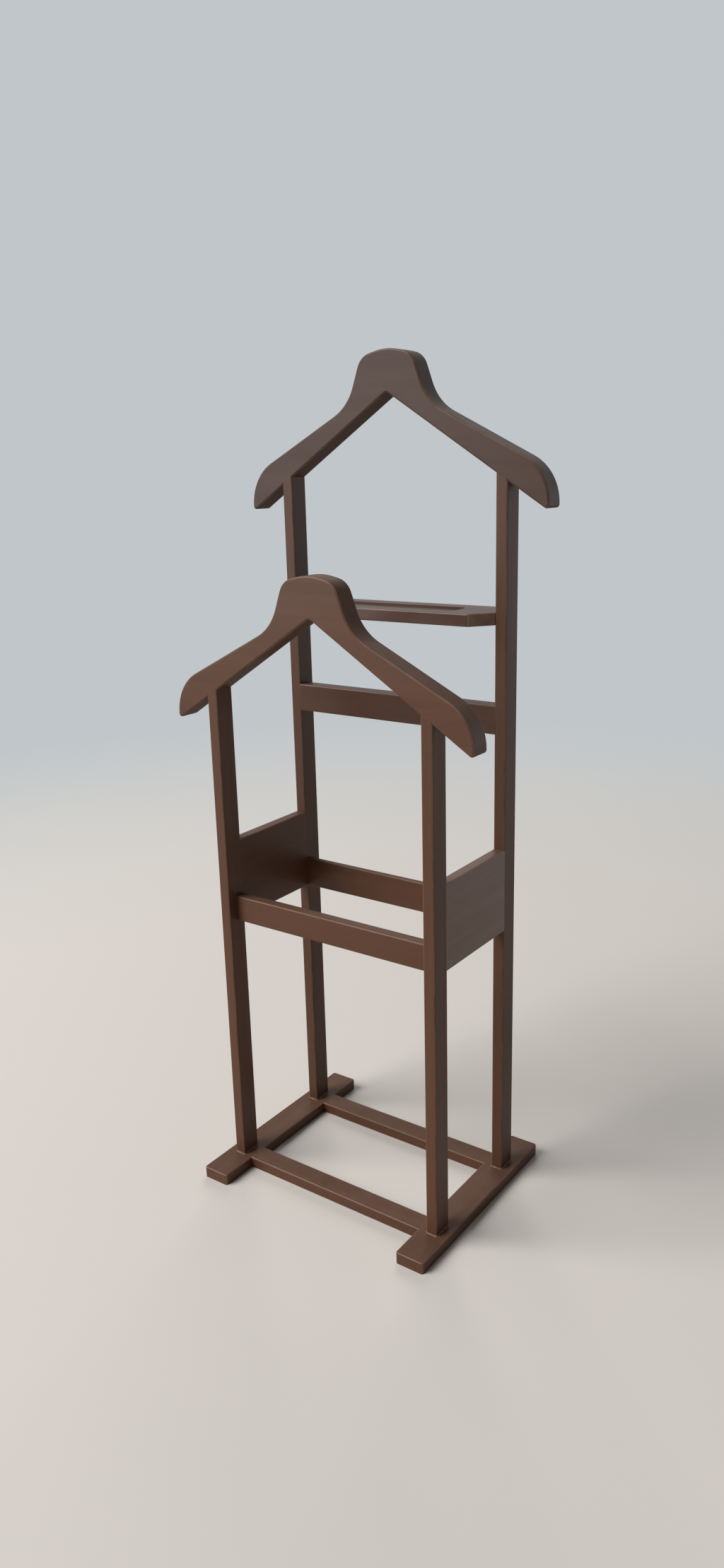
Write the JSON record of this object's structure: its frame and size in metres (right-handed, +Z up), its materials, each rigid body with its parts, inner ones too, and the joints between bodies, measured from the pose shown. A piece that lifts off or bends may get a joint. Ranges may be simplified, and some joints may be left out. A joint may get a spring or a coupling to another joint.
{
  "type": "clothes valet stand",
  "caption": "Free-standing wooden coat stand: a short front frame and a tall rear frame, each topped by a shoulder board, with trouser bar, small tray and a base of flat runners.",
  "frame": {"origin": "on the floor, under the middle of the stand", "axes": "+Z up; +X across the stand, to the right of someone facing its short front frame; +Y from the short front frame to the tall rear frame"},
  "size_m": [0.455, 0.311, 1.12],
  "materials": {
    "stained_wood": "dark brown stained hardwood under semi-gloss lacquer",
    "dowel_wood": "bare beech, turned and glued in",
    "screw_steel": "zinc-plated steel"
  },
  "bodies": {
    "root": {"left_runner": "stained_wood", "right_runner": "stained_wood", "front_base_rail": "stained_wood", "rear_base_rail": "stained_wood", "front_left_upright": "stained_wood", "front_right_upright": "stained_wood", "rear_left_upright": "stained_wood", "rear_right_upright": "stained_wood", "front_shoulder_board": "stained_wood", "rear_shoulder_board": "stained_wood", "left_side_panel": "stained_wood", "right_side_panel": "stained_wood", "front_cross_rail": "stained_wood", "rear_cross_rail": "stained_wood", "trouser_bar": "stained_wood", "tray": "stained_wood", "base_rail_dowels": "dowel_wood", "side_panel_dowels": "dowel_wood", "foot_dowels": "dowel_wood", "front_shoulder_dowels": "dowel_wood", "rear_shoulder_dowels": "dowel_wood", "front_cross_rail_dowels": "dowel_wood", "rear_cross_rail_dowels": "dowel_wood", "trouser_bar_dowels": "dowel_wood", "tray_dowels": "dowel_wood", "foot_screws": "screw_steel"}
  },
  "joints": []
}
